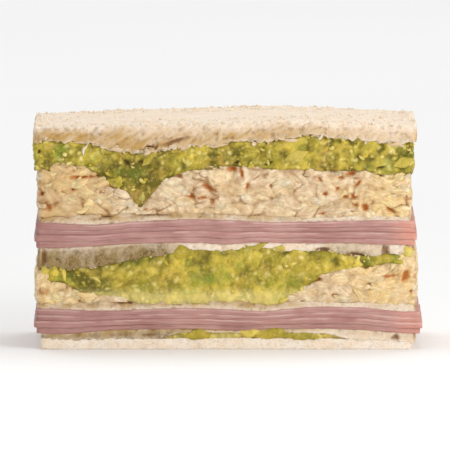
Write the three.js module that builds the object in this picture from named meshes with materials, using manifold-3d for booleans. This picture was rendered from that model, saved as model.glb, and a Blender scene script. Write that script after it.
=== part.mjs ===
// A crustless layered sandwich, cut straight down on all four sides so that every layer shows:
// six thin slices of soft white bread, mashed avocado, pulled chicken and two stacks of ham.
// Millimetres, +Z up. It stands on Z = 0 over the origin, and its front cut looks along -Y.

import * as THREE from "three";
import { mergeVertices } from "three/addons/utils/BufferGeometryUtils.js";
import Module from "manifold-3d";

const WIDTH = 110; // the slices, left to right along X
const DEPTH = 55; // from the front cut to the back cut, along Y
const GAP = 0.3; // clearance between one layer and the next
const PRESSED = 0.9; // the least that a pressed layer is squashed to, clearance included
const HAM_SLICES = 4; // in each stack

// Every layer is meshed over the same columns and rows, so that neighbours meet without crossing.
const COLUMNS = 20;
const ROWS = 3;
const CORNER_ROUNDING = 0.8; // how far a corner of a cut layer is rubbed back
const DRIFT = 7; // how far a swell may wander sideways between the front and the back
const MORSEL_SIDES = 5; // round the morsels of chicken and avocado that are fused to the heaps
const MORSEL_RINGS = 3;

const wasm = await Module();
wasm.setup();

// A seam is the surface between two layers: a level height with swells and sags in it.
// Each swell is [place along X, half width, rise] on the front cut.
function seam(level, ...swells) {
  return (x, y) => {
    const towardsBack = y / DEPTH + 0.5;
    let height = level;
    for (const [place, halfWidth, rise] of swells) {
      const centre = place + DRIFT * towardsBack * Math.sin(place);
      height += rise * Math.exp(-(((x - centre) / halfWidth) ** 2));
    }
    return height;
  };
}

// A seam keeps clear of the one under it, however far it sags.
const over = (under, upper) => (x, y) => Math.max(under(x, y) + PRESSED, upper(x, y));

const table = () => 0;
const lowestBreadTop = seam(3.2, [-40, 5, -0.5], [50, 7, -1.1]);
const smearTop = seam(5.0, [-8, 5, 0.7], [12, 12, 0.4]);
const secondHamUnder = seam(6.4, [-48, 15, -1.6], [2, 5, -0.6], [52, 10, -1.5]);
const secondHamTop = seam(11.9, [-34, 9, -1.0], [-12, 8, 0.3], [11, 6, -0.9], [30, 13, 0.7], [54, 9, -1.2]);
const fourthBreadTop = over(secondHamTop, seam(14.1, [-46, 9, -1.0], [46, 15, -0.9]));
const firstHamUnder = seam(31.4, [-48, 13, -1.7], [0, 4.5, -1.1], [49, 10, -0.9]);
const firstHamTop = seam(37.4, [-40, 10, -1.3], [-8, 6, 0.7], [12, 5, -0.7]);
const secondBreadTop = over(firstHamTop, seam(38.5, [-54, 7, -0.9], [-20, 24, 1.2]));
const chickenTop = seam(52.9, [-45, 9, 1.4], [-31, 4, -1.6], [-25.5, 8, -8.6], [2, 8, 0.9], [46, 9, -1.2]);
const topBreadUnder = seam(60.3, [-44, 7, 1.4], [-25, 15, -2.2], [25, 13, 2.8], [50, 8, 0.6]);
const crown = seam(64.3, [-28, 14, 0.7], [18, 34, 2.3]);

// The third slice of bread is thick at its left, where it sagged, and pressed thin elsewhere.
const thirdBreadThickness = seam(2.2, [-42, 22, 4.3], [-11, 4, -1.1], [6, 5, -1.1], [38, 7, 2.3], [51, 4, -1.1]);
const thirdBreadUnder = (x, y) => firstHamUnder(x, y) - Math.max(PRESSED, thirdBreadThickness(x, y));

const columnX = (i) => (i / COLUMNS - 0.5) * WIDTH;
const rowY = (j) => (j / ROWS - 0.5) * DEPTH;

// The fillings that don't reach all the way across run between these columns.
const LEFT_HEAP_COLUMNS = [0, 5];
const RIGHT_HEAP_COLUMNS = [13, COLUMNS];
const MASH_COLUMNS = [1, 19];
const SMEAR_COLUMNS = [7, 16];
const MASH_ENDS = MASH_COLUMNS.map(columnX);
const SMEAR_ENDS = SMEAR_COLUMNS.map(columnX);

// The pulled chicken of the lower half lies in two heaps that run out towards the middle.
// A heap's top stays under the mash that covers it, and meets the bread beyond the mash's ends.
function heapTop(heap) {
  return (x, y) => {
    const bread = thirdBreadUnder(x, y);
    const bare = x < MASH_ENDS[0] || x > MASH_ENDS[1];
    const floor = fourthBreadTop(x, y) + PRESSED;
    return bare ? bread : Math.max(floor, Math.min(heap(x, y), bread - PRESSED));
  };
}
const leftHeapTop = heapTop(seam(14.6, [-53, 7.5, 9.8], [-38, 6, 2.0]));
const rightHeapTop = heapTop(seam(15.2, [32, 10, 8.4], [46, 8, 7.5], [56, 8, 9.0]));

function mashUnder(x, y) {
  const onLeftHeap = x <= columnX(LEFT_HEAP_COLUMNS[1]);
  const onRightHeap = x >= columnX(RIGHT_HEAP_COLUMNS[0]);
  const carrier = onLeftHeap ? leftHeapTop : onRightHeap ? rightHeapTop : fourthBreadTop;
  return carrier(x, y);
}

// The fifth slice of bread rides over the smear of avocado under it.
function fifthBreadUnder(x, y) {
  const overSmear = x >= SMEAR_ENDS[0] && x <= SMEAR_ENDS[1];
  return overSmear ? smearTop(x, y) : lowestBreadTop(x, y);
}

// How far a cut face stands out of the knife's plane at height share v of the layer.
const bow = (v) => 4 * v * (1 - v);
const ripple = (x, y, v) => Math.sin(0.29 * x + 0.41 * y + 1.3 * v) * Math.cos(0.17 * x - 0.23 * y);
const faces = {
  topBread: (x, y, v) => -0.9 + 0.9 * bow(v) + 0.7 * v + 0.35 * ripple(x, y, v),
  bread: (x, y, v) => -0.9 + 0.4 * bow(v) + 0.4 * ripple(x, y, v),
  ham: (x, y, v) => 0.1 + 0.2 * bow(v) + 0.35 * ripple(x, y, v),
  mash: (x, y, v) => -0.7 + 0.9 * bow(v) + 0.6 * ripple(x, y, 3 * v),
  core: (x, y, v) => -2.2 + 0.5 * bow(v) + 0.4 * ripple(x, y, 2 * v),
  knife: () => 0.2,
  proud: () => 0.9,
};

// A layer between two seams, as a closed mesh from column `from` to column `to`. `ends` is how
// far it reaches past the slices' left and right ends, and `bands` the courses of its cut face.
function layerGeometry({ from = 0, to = COLUMNS, lower, upper, bands = 2, face, ends = [0, 0] }) {
  const positions = [];
  const faceIndex = [];
  const known = new Map();

  function point(i, j, k) {
    const key = [i, j, k].join();
    if (known.has(key)) return known.get(key);
    const x = columnX(i);
    const y = rowY(j);
    const v = k / bands;
    const sideX = i === 0 ? -1 : i === COLUMNS ? 1 : 0;
    const sideY = j === 0 ? -1 : j === ROWS ? 1 : 0;
    const corner = sideX && sideY ? CORNER_ROUNDING : 0;
    const out = face(x, y, v) - corner;
    const slip = sideX < 0 ? ends[0] : sideX > 0 ? ends[1] : 0;
    const cutX = x + sideX * (out + slip);
    const cutY = y + sideY * out;
    const low = lower(cutX, cutY) + (lower === table ? 0 : GAP / 2);
    const high = upper(cutX, cutY) - GAP / 2;
    known.set(key, positions.length / 3);
    positions.push(cutX, cutY, low + v * (high - low));
    return known.get(key);
  }
  const quad = (a, b, c, d) => faceIndex.push(a, b, c, a, c, d);

  for (let i = from; i < to; i++) {
    for (let j = 0; j < ROWS; j++) {
      const cell = [[i, j], [i + 1, j], [i + 1, j + 1], [i, j + 1]];
      quad(...cell.map(([a, b]) => point(a, b, bands)));
      const [p, q, r, s] = cell.map(([a, b]) => point(a, b, 0));
      faceIndex.push(p, r, q, p, s, r);
    }
  }

  const across = Array.from({ length: to - from }, (_, n) => n);
  const back = Array.from({ length: ROWS }, (_, n) => n);
  const rim = [
    ...across.map((n) => [from + n, 0]),
    ...back.map((n) => [to, n]),
    ...across.map((n) => [to - n, ROWS]),
    ...back.map((n) => [from, ROWS - n]),
  ];
  rim.forEach(([i, j], n) => {
    const [iNext, jNext] = rim[(n + 1) % rim.length];
    for (let k = 0; k < bands; k++) {
      quad(point(i, j, k), point(iNext, jNext, k), point(iNext, jNext, k + 1), point(i, j, k + 1));
    }
  });

  return new THREE.BufferGeometry()
    .setAttribute("position", new THREE.Float32BufferAttribute(positions, 3))
    .setIndex(faceIndex);
}

function solidOf(geometry) {
  const bare = geometry.clone();
  bare.deleteAttribute("normal");
  bare.deleteAttribute("uv");
  const merged = mergeVertices(bare, 1e-4);
  return new wasm.Manifold(
    new wasm.Mesh({
      numProp: 3,
      vertProperties: merged.attributes.position.array,
      triVerts: new Uint32Array(merged.index.array),
    }),
  );
}

function geometryOf(solid) {
  const mesh = solid.getMesh();
  return new THREE.BufferGeometry()
    .setAttribute("position", new THREE.Float32BufferAttribute(mesh.vertProperties, 3))
    .setIndex(new THREE.BufferAttribute(mesh.triVerts, 1));
}

function seededRandom(seed) {
  let state = seed;
  return () => {
    state = (state * 1664525 + 1013904223) % 4294967296;
    return state / 4294967296;
  };
}

// The places round a layer's cut sides where morsels go: one for each stretch of `pitch`
// millimetres in each of the `courses` up the face, nudged off its even place.
function placesRound({ from = 0, to = COLUMNS, ends = [0, 0] }, { pitch, courses, size, depth }, random) {
  const left = columnX(from) - ends[0];
  const right = columnX(to) + ends[1];
  const sides = [
    { corner: [left, -DEPTH / 2], turn: 0, length: right - left, open: true },
    { corner: [right, -DEPTH / 2], turn: 90, length: DEPTH, open: to === COLUMNS },
    { corner: [right, DEPTH / 2], turn: 180, length: right - left, open: true },
    { corner: [left, DEPTH / 2], turn: 270, length: DEPTH, open: from === 0 },
  ];
  const margin = 0.35 * size[0]; // keeps a morsel's length inside the corners
  const places = [];
  for (const { corner, turn, length } of sides.filter((side) => side.open)) {
    const count = Math.round(length / pitch);
    const along = Math.cos(THREE.MathUtils.degToRad(turn));
    const across = Math.sin(THREE.MathUtils.degToRad(turn));
    for (let course = 0; course < courses; course++) {
      for (let n = 0; n < count; n++) {
        const stagger = 0.25 + 0.5 * (course % 2);
        const run = margin + ((n + stagger + 0.4 * (random() - 0.5)) / count) * (length - 2 * margin);
        const share = (course + 0.5 + 0.4 * (random() - 0.5)) / courses;
        const inset = depth * (0.7 + 0.6 * random());
        const x = corner[0] + along * run - across * inset;
        const y = corner[1] + across * run + along * inset;
        places.push({ x, y, share, turn });
      }
    }
  }
  return places;
}

// A rounded morsel with few sides, lying along the cut side that it shows on.
function morselAt({ x, y, z, turn, tilt, size }) {
  const morsel = new THREE.SphereGeometry(0.5, MORSEL_SIDES, MORSEL_RINGS);
  morsel.rotateZ(Math.PI / 2);
  morsel.scale(...size);
  morsel.rotateY(THREE.MathUtils.degToRad(tilt));
  morsel.rotateZ(THREE.MathUtils.degToRad(turn));
  morsel.translate(x, y, z);
  return solidOf(morsel);
}

// A heap: a recessed core with morsels fused round its cut sides, trimmed flush by the knife
// and by the layers above and below.
function heapGeometry({ layer, trim, morsels, seed }) {
  const random = seededRandom(seed);
  const envelope = solidOf(layerGeometry({ ...layer, face: trim, bands: 1 }));
  const pieces = placesRound(layer, morsels, random).map(({ x, y, share, turn }) => {
    const low = layer.lower(x, y);
    const z = low + share * (layer.upper(x, y) - low);
    const tilt = morsels.tilt * (2 * random() - 1);
    const grow = 0.8 + 0.4 * random();
    return morselAt({ x, y, z, turn, tilt, size: morsels.size.map((side) => side * grow) }).intersect(envelope);
  });
  const heap = wasm.Manifold.union([solidOf(layerGeometry(layer)), ...pieces]);
  const largest = heap.decompose().reduce((most, part) => (part.volume() > most.volume() ? part : most));
  return geometryOf(largest);
}

// Each size is length, depth into the food and height, and `depth` how deep its middle lies.
const shreds = { pitch: 14, courses: 2, tilt: 26, size: [15, 4.6, 4.8], depth: 0.7 };
const lumps = { pitch: 17, courses: 1, tilt: 35, size: [8, 4.6, 4.6], depth: 1.0 };

const looks = {
  bread: { color: 0xf0dfc6, roughness: 0.9 },
  avocado: { color: 0xb09c3e, roughness: 0.5 },
  chicken: { color: 0xe3c48c, roughness: 0.6 },
  ham: { color: 0xbd8a80, roughness: 0.4 },
};
const materials = Object.fromEntries(
  Object.entries(looks).map(([name, look]) => [name, new THREE.MeshStandardMaterial({ ...look, metalness: 0 })]),
);

const sandwich = new THREE.Group();

function addPiece(name, geometry, material) {
  const mesh = new THREE.Mesh(geometry, material);
  mesh.name = name;
  sandwich.add(mesh);
}

function addBread(name, lower, upper, ends, face = faces.bread) {
  addPiece(name, layerGeometry({ lower, upper, face, ends }), materials.bread);
}

function addChicken(name, seed, layer) {
  const core = { bands: 1, face: faces.core, ...layer };
  addPiece(name, heapGeometry({ layer: core, trim: faces.knife, morsels: shreds, seed }), materials.chicken);
}

function addMash(name, seed, layer) {
  const core = { face: faces.mash, ...layer };
  addPiece(name, heapGeometry({ layer: core, trim: faces.proud, morsels: lumps, seed }), materials.avocado);
}

// The slices of a stack share the height between its two seams.
function addHamStack(name, lower, upper, ends) {
  const between = (share) => (x, y) => {
    const low = lower(x, y);
    return low + share * (upper(x, y) - low);
  };
  for (let n = 0; n < HAM_SLICES; n++) {
    const slip = 0.35 * Math.sin(2.1 * n + upper(0, 0));
    const layer = {
      lower: between(n / HAM_SLICES),
      upper: between((n + 1) / HAM_SLICES),
      bands: 1,
      face: (x, y, v) => faces.ham(x + 9 * n, y, v) + slip,
      ends,
    };
    addPiece(`${name}_slice_${n + 1}`, layerGeometry(layer), materials.ham);
  }
}

function addSmear() {
  const [from, to] = SMEAR_COLUMNS;
  const layer = { from, to, lower: lowestBreadTop, upper: smearTop, bands: 1, face: faces.bread };
  addPiece("avocado_smear", layerGeometry(layer), materials.avocado);
}

addBread("bread_bottom", table, lowestBreadTop, [-1.9, -1.9]);
addSmear();
addBread("bread_fifth", fifthBreadUnder, secondHamUnder, [-1, 0.2]);
addHamStack("ham_lower", secondHamUnder, secondHamTop, [0.2, 1.3]);
addBread("bread_fourth", secondHamTop, fourthBreadTop, [0.1, 0.2]);
addChicken("chicken_lower_left", 11, {
  from: LEFT_HEAP_COLUMNS[0],
  to: LEFT_HEAP_COLUMNS[1],
  lower: fourthBreadTop,
  upper: leftHeapTop,
  ends: [0.6, 0],
});
addChicken("chicken_lower_right", 23, {
  from: RIGHT_HEAP_COLUMNS[0],
  to: RIGHT_HEAP_COLUMNS[1],
  lower: fourthBreadTop,
  upper: rightHeapTop,
  ends: [0, 0.6],
});
addMash("avocado_lower", 37, {
  from: MASH_COLUMNS[0],
  to: MASH_COLUMNS[1],
  lower: mashUnder,
  upper: thirdBreadUnder,
  bands: 3,
});
addBread("bread_third", thirdBreadUnder, firstHamUnder, [0.1, -1]);
addHamStack("ham_upper", firstHamUnder, firstHamTop, [0.1, -0.3]);
addBread("bread_second", firstHamTop, secondBreadTop, [-0.4, -1.2]);
addChicken("chicken_upper", 41, { lower: secondBreadTop, upper: chickenTop, ends: [0, -1.2] });
addMash("avocado_upper", 53, { lower: chickenTop, upper: topBreadUnder, ends: [0.7, -0.8] });
addBread("bread_top", topBreadUnder, crown, [0.6, -0.2], faces.topBread);

// The layers slip sideways by different amounts, so the whole is set over the origin last.
const middle = new THREE.Box3().setFromObject(sandwich).getCenter(new THREE.Vector3());
sandwich.position.set(-middle.x, -middle.y, 0);

export default sandwich;
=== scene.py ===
# %% [markdown]
# A crustless layered sandwich is soft food with one clean cut on each side. Nearly all of its looks
# are on those cuts: torn crumb, mash, shreds of meat and the smooth edges of ham. So each layer is
# made the same way, as a wheel that is pressed into the slice's outline, and then gets the relief
# and the colours of what it is made of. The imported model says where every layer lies.

import math
from itertools import product

import bmesh
import bpy
import numpy as np
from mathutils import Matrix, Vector
from mathutils.bvhtree import BVHTree


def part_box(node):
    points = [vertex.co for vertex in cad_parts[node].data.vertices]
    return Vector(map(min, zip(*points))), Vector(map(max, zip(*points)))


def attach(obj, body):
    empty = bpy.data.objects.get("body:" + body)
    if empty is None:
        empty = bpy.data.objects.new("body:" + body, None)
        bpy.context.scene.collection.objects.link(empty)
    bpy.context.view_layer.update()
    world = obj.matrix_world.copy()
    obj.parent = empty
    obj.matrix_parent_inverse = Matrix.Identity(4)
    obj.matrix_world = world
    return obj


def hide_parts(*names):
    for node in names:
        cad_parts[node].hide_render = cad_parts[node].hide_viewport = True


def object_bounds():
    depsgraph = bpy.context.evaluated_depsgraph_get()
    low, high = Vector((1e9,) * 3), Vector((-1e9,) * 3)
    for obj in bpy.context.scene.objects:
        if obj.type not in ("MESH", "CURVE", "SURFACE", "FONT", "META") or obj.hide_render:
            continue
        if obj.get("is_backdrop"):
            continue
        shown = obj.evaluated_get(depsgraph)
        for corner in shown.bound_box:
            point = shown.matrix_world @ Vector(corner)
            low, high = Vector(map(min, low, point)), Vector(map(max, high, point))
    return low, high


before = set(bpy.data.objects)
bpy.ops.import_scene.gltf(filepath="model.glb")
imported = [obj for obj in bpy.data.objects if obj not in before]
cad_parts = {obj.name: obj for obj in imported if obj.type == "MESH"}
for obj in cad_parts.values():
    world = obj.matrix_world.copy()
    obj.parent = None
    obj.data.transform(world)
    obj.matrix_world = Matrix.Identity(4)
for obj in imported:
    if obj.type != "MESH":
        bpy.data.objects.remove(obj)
cad_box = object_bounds()
MM = 0.001
print("layers:", len(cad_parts), "size in mm:", [round((b - a) / MM, 1) for a, b in zip(*cad_box)])

# %% [markdown]
# Food is uneven at every scale, and the unevenness has to be the same each time the scene is made.
# Blender has its own noise, but it works on one point at a time. Here a hash of the lattice
# corners gives the same kind of noise for a whole layer at once: smooth noise for swells, and
# cells, each with its own heart and number, for lumps, pores and bundles of fibre.

# %% Repeatable noise
def lattice(corner, seed):
    """Three numbers from -1 to 1 for each lattice corner, always the same ones."""
    x, y, z = (corner[:, i].astype(np.uint32) for i in range(3))
    h = (x * np.uint32(0x9E3779B1)) ^ (y * np.uint32(0x85EBCA77)) ^ (z * np.uint32(0xC2B2AE3D))
    h = (h + np.uint32(seed * 7919)) * np.uint32(0x27D4EB2F)
    h = (h ^ (h >> np.uint32(15))) * np.uint32(0x2C1B3C6D)
    h = (h ^ (h >> np.uint32(12))) * np.uint32(0x297A2D39)
    h = h ^ (h >> np.uint32(15))
    return np.stack([(h >> np.uint32(shift)) & np.uint32(1023) for shift in (0, 10, 20)], 1) / 511.5 - 1


def noise(points, size, seed=0):
    """Smooth noise from about -1 to 1, with features about `size` across."""
    spot = points / size
    cell = np.floor(spot).astype(np.int64)
    inside = spot - cell
    ease = inside**3 * (inside * (inside * 6 - 15) + 10)
    total = np.zeros(len(points))
    for step in product((0, 1), repeat=3):
        weight = np.prod(np.where(step, ease, 1 - ease), axis=1)
        total += weight * np.einsum("ij,ij->i", lattice(cell + step, seed), inside - step)
    return 1.5 * total


def rough(points, size, seed=0, octaves=3):
    """Noise with finer and finer noise on it."""
    return sum(noise(points, size / 2**n, seed + n) / 2**n for n in range(octaves)) / 1.4


# %% [markdown]
# Lumps, pores and bundles have borders, which smooth noise doesn't give. Here every point belongs
# to the nearest of many scattered hearts, and the borders lie where two hearts are equally near.

# %% Cells
def cells(points, size, seed=0):
    """For each point: how far the nearest cell's heart is, how much further the next one is, the
    cell's own numbers, and the way from its heart, all in cells."""
    spot = points / size
    base = np.floor(spot).astype(np.int64)
    near = np.full(len(points), 9.0)
    further = np.full(len(points), 9.0)
    own = np.zeros((len(points), 3))
    away = np.zeros((len(points), 3))
    for step in product((-1, 0, 1), repeat=3):
        numbers = lattice(base + step, seed)
        offset = spot - (base + step + 0.5 + 0.42 * numbers)
        distance = np.linalg.norm(offset, axis=1)
        closer = distance < near
        further = np.where(closer, near, np.minimum(further, distance))
        near = np.where(closer, distance, near)
        own[closer] = numbers[closer][:, ::-1]
        away[closer] = offset[closer]
    return near, further - near, own, away


# %% [markdown]
# Nearly every mask below is one of two curves over a distance: a ramp from 0 to 1, or a hump.

# %% Easy curves
def ramp(value, start, end):
    """0 before start, 1 after end and an easy curve between; start may be the larger."""
    t = np.clip((value - start) / (end - start), 0, 1)
    return t * t * (3 - 2 * t)


def hump(value, middle, half_width):
    """1 in the middle, and an easy slope down to 0 on both sides."""
    return np.exp(-(((value - middle) / half_width) ** 2))


def joined(*columns):
    """Points, or other rows of values, from their columns."""
    return np.column_stack(columns)


# %% [markdown]
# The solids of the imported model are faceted, with a bend every few millimetres, and a hair's
# breadth apart. Soft food has neither: it touches whatever it lies on. So the upper and lower side
# of each solid are measured with rays on an even grid, the lower side is let down on what is right
# under it, and both are smoothed. The rays stay a little inside the cut, where a solid is whole.
# The seams between avocado and chicken are steep in places, so they are smoothed less.

# %% Where each layer lies
RAY_PITCH = 2 * MM
RAY_INSET = 3.6 * MM
RAY_START = 1.0
SETTLES = 5.0 * MM
SKIN = 0.05 * MM
PASSES = 3
STEEP_PASSES = 1
STEEP = {
    "avocado_upper": "low",
    "chicken_upper": "high",
    "avocado_lower": "low",
    "chicken_lower_left": "high",
    "chicken_lower_right": "high",
}


def tree_of(nodes):
    corners, faces = [], []
    for node in nodes:
        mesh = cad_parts[node].data
        faces += [[len(corners) + v for v in polygon.vertices] for polygon in mesh.polygons]
        corners += [v.co for v in mesh.vertices]
    return BVHTree.FromPolygons(corners, faces)


def ray_height(tree, x, y, start, down):
    hit = tree.ray_cast(Vector((x, y, start)), Vector((0, 0, -1 if down else 1)))[0]
    return 0.0 if hit is None else hit.z


def smoothed(heights, passes):
    for _ in range(passes):
        for axis in (0, 1):
            ends = [(1, 1) if i == axis else (0, 0) for i in (0, 1)]
            padded = np.pad(heights, ends, mode="edge")
            middle = (np.roll(padded, 1, axis) + 2 * padded + np.roll(padded, -1, axis)) / 4
            heights = middle[1:-1] if axis == 0 else middle[:, 1:-1]
    return heights


# %% [markdown]
# Each layer is measured once. After that it can say, for many places at a time, how high its two
# sides lie and where its cut runs.

# %% Measuring the layers
class Layer:
    """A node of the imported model: its box, and the heights of its lower and upper side."""

    def __init__(self, node, everything):
        self.low_corner, self.high_corner = (np.array(corner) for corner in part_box(node))
        self.middle = (self.low_corner + self.high_corner)[:2] / 2
        self.half = (self.high_corner - self.low_corner)[:2] / 2
        own = tree_of([node])
        reach = self.half - RAY_INSET
        counts = np.ceil(2 * reach / RAY_PITCH).astype(int) + 1
        self.axes = [np.linspace(m - r, m + r, n) for m, r, n in zip(self.middle, reach, counts)]
        low, high = np.zeros(counts), np.zeros(counts)
        for (i, x), (j, y) in product(*(enumerate(axis) for axis in self.axes)):
            high[i, j] = ray_height(own, x, y, RAY_START, down=True)
            low[i, j] = ray_height(own, x, y, -RAY_START, down=False)
            under = ray_height(everything, x, y, low[i, j] - SKIN, down=True)
            if low[i, j] - under < SETTLES:
                low[i, j] = under
        self.sides = {}
        for side, heights in (("low", low), ("high", high)):
            self.sides[side] = smoothed(heights, STEEP_PASSES if STEEP.get(node) == side else PASSES)

    def height(self, side, x, y):
        """The smoothed height of one side, "low" or "high", at many places."""
        table = self.sides[side]
        where = []
        for axis, value in zip(self.axes, (x, y)):
            place = np.clip((value - axis[0]) / (axis[1] - axis[0]), 0, len(axis) - 1.001)
            where.append((place.astype(int), place % 1))
        (i, u), (j, v) = where
        front = table[i, j] * (1 - u) + table[i + 1, j] * u
        back = table[i, j + 1] * (1 - u) + table[i + 1, j + 1] * u
        return front * (1 - v) + back * v

    def heights(self, x, y):
        return self.height("low", x, y), self.height("high", x, y)

    def round_the_cut(self, inset, share):
        """Places round the layer, `inset` behind its cut, and the way out at each."""
        spots, ways, _ = outline(self.half - inset, share)
        return spots + self.middle, ways


whole = tree_of(sorted(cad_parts))
layers = {node: Layer(node, whole) for node in sorted(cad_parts)}
for node, layer in layers.items():
    thickness = layer.sides["high"] - layer.sides["low"]
    print(f"{node}: {thickness.min() / MM:.1f} to {thickness.max() / MM:.1f} mm thick")

# %% [markdown]
# A slice could be a subdivided box, but a box has its detail in the wrong places: fine faces are
# needed on the cut and hardly any on the sides that are pressed together. So a sheet of even
# squares is wrapped round instead: from the middle of the underside out to the rim, up the cut and
# back to the middle of the top. Its two edges meet and are merged, which closes the layer, and
# its columns lie evenly along the cut all the way round.

# %% The wrapped sheet
CELL = 0.42 * MM
CORNER = 1.3 * MM
CORNER_STEPS = 9
LIPS = (0.0, 0.8, 0.93, 0.975, 0.992)


def profile(rows, top_rings=None):
    """How far out and how far up the sheet is, from the lower middle to the upper one."""
    under = [(share, 0.0) for share in LIPS]
    cut = [(1.0, row / rows) for row in range(rows + 1)]
    over = [(share, 1.0) for share in sorted(top_rings or LIPS, reverse=True)]
    return np.array(under + cut + over)


def coordinates(mesh):
    flat = np.empty(len(mesh.vertices) * 3, np.float32)
    mesh.vertices.foreach_get("co", flat)
    return flat.reshape(-1, 3).astype(float)


def wrapped_sheet(name, columns, levels):
    """A closed wheel with a radius and a height of 1."""
    form = bmesh.new()
    bmesh.ops.create_grid(form, x_segments=columns, y_segments=len(levels) - 1, size=1)
    mesh = bpy.data.meshes.new(name)
    form.to_mesh(mesh)
    sheet = coordinates(mesh)
    angle = math.pi * sheet[:, 0]
    step = (sheet[:, 1] + 1) / 2 * (len(levels) - 1)
    out, up = (np.interp(step, np.arange(len(levels)), levels[:, i]) for i in (0, 1))
    rolled = joined(out * np.cos(angle), out * np.sin(angle), up)
    mesh.vertices.foreach_set("co", rolled.astype(np.float32).ravel())
    form.clear()
    form.from_mesh(mesh)
    bmesh.ops.remove_doubles(form, verts=form.verts, dist=1e-5)
    bmesh.ops.recalc_face_normals(form, faces=form.faces)
    form.to_mesh(mesh)
    form.free()
    return mesh


# %% [markdown]
# A knife leaves sharp corners and soft bread rounds them a little. So the wheel is laid out on a
# rectangle with small round corners.

# %% The outline of a slice
def outline(half, share):
    """Places round a rectangle with rounded corners, from the middle of its right side, the way
    out at each, and how long the way round is."""
    inner = half - CORNER
    bends = [np.linspace(start, start + 90, CORNER_STEPS) for start in (0, 90, 180, 270)]
    turns = np.radians(np.concatenate(bends))
    quadrant = np.repeat([[1, 1], [-1, 1], [-1, -1], [1, -1]], CORNER_STEPS, axis=0)
    path = quadrant * inner + CORNER * joined(np.cos(turns), np.sin(turns))
    path = np.vstack([[half[0], 0], path, [half[0], 0]])
    run = np.concatenate([[0], np.cumsum(np.linalg.norm(np.diff(path, axis=0), axis=1))])
    bend = np.concatenate([[0], turns, [2 * math.pi]])
    place = share * run[-1]
    spot = joined(*(np.interp(place, run, side) for side in path.T))
    way = np.interp(place, run, bend)
    return spot, joined(np.cos(way), np.sin(way)), run[-1]


# %% [markdown]
# Two layers that touch have to wander together. So how far a seam strays depends on nothing but
# the place, and changes slowly upwards. Ham and pressed bread hardly stray, in long slow waves.
# The soft fillings stray more, at every scale.

# %% How seams stray
SOFT_ZONES = ((22 * MM, 8.5 * MM, 0.75 * MM), (54 * MM, 12 * MM, 1.0 * MM))
FIRM_STRAY = 0.35 * MM
FIRM_BUMPS = 0.14 * MM
LOBE_DEPTH = 3.0 * MM
LOBE_TIP = (-24.7 * MM, 2.4 * MM)
LOBE_SHELF = (-29.2 * MM, 2.2 * MM)
HEAP_RISE = 1.4 * MM
HEAP_TOP = (-50 * MM, 7 * MM)


def stray(x, y, z):
    """How far up a seam lies beside its smooth course. At the front cut the lobe of avocado hangs
    deeper, and the lower left heap of chicken rises."""
    soft = sum(amount * np.exp(-(((z - middle) / reach) ** 4)) for middle, reach, amount in SOFT_ZONES)
    firm = FIRM_STRAY * noise(joined(x, y, z), 17 * MM, 8)
    firm += FIRM_BUMPS * noise(joined(x, y, z / 3), 2.6 * MM, 12)
    broad = rough(joined(x, y, z / 3), 6 * MM, 3)
    fine = noise(joined(x, y, z / 2), 1.5 * MM, 9)
    lobe = hump(x, *LOBE_TIP) - 0.55 * hump(x, *LOBE_SHELF)
    lobe = lobe * ramp(z, 51 * MM, 46 * MM) * ramp(z, 40 * MM, 42 * MM)
    heap = hump(x, *HEAP_TOP) * hump(z, 18.5 * MM, 2.5 * MM)
    at_front = ramp(y, 0, -18 * MM) * (HEAP_RISE * heap - LOBE_DEPTH * lobe)
    return firm + soft * (0.75 * broad + 0.4 * fine) + at_front


# %% [markdown]
# What sets one sandwich apart are its accidents: a hole in the meat here, a pocket there. They are
# listed as slanted ovals on the cut, in millimetres along and up, with their half sizes and their
# slant in degrees. The back and the ends were cut with the same knife from the same fillings, so
# the same list serves them, run along the other sides.

# %% Ovals on the cut
def ovals(face, z, places, soft=0.45):
    """1 inside any of the listed ovals, 0 outside, and soft between, with a ragged border."""
    inside = np.zeros(len(z))
    ragged = 0.15 + 0.6 * rough(joined(face, z, 0 * z), 1.3 * MM, 57, 2)
    for x0, z0, half_length, half_height, slant in places:
        turn = math.radians(slant)
        right, up = face - x0 * MM, z - z0 * MM
        along = (right * math.cos(turn) + up * math.sin(turn)) / (half_length * MM)
        across = (up * math.cos(turn) - right * math.sin(turn)) / (half_height * MM)
        inside = np.maximum(inside, ramp(np.hypot(along, across) + ragged, 1 + soft, 1 - soft))
    return inside


# %% [markdown]
# Every layer then goes through the same steps: wrap the sheet round the outline, set it between
# its two seams, round its edges, and push the cut in and out by the relief of its recipe. The
# recipe also says how deep each point lies and what tint it has. Those stay on the mesh as
# attributes, which the materials read.

# %% What a recipe sees
def along_the_cut(spots, ways):
    """How far along its side each place is, from left to right as one faces that side. The ends are
    half as long as the front, so there it is doubled."""
    return -spots[:, 0] * ways[:, 1] + 2 * spots[:, 1] * ways[:, 0]


class Cut:
    """The points of a layer as a recipe sees them: where they are, how far up the cut and how far
    out they lie, from 0 to 1, the way out, and how far along the cut they are."""

    def __init__(self, coords, up, out, way):
        self.coords, self.up, self.out, self.way = coords, up, out, way
        self.x, self.y, self.z = coords.T
        self.face = along_the_cut(coords, way)

    def warped(self, amount, size, seed):
        """The points, pushed about by noise, so that what is laid on them is bent."""
        return self.coords + amount * joined(*(noise(self.coords, size, seed + n) for n in range(3)))


# %% [markdown]
# A mesh becomes a piece of the sandwich once it has its points, its material and its place in the
# frame. Each kind of food has a slot, and its material goes by the slot's name.

# %% From mesh to piece
MATERIALS = {}


def keep(mesh, **values):
    """Stores values at the mesh's points, for its material to read."""
    for name, value in values.items():
        flat = np.asarray(value, np.float32)
        kind, key = ("FLOAT", "value") if flat.ndim == 1 else ("FLOAT_VECTOR", "vector")
        mesh.attributes.new(name, kind, "POINT").data.foreach_set(key, flat.ravel())


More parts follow.
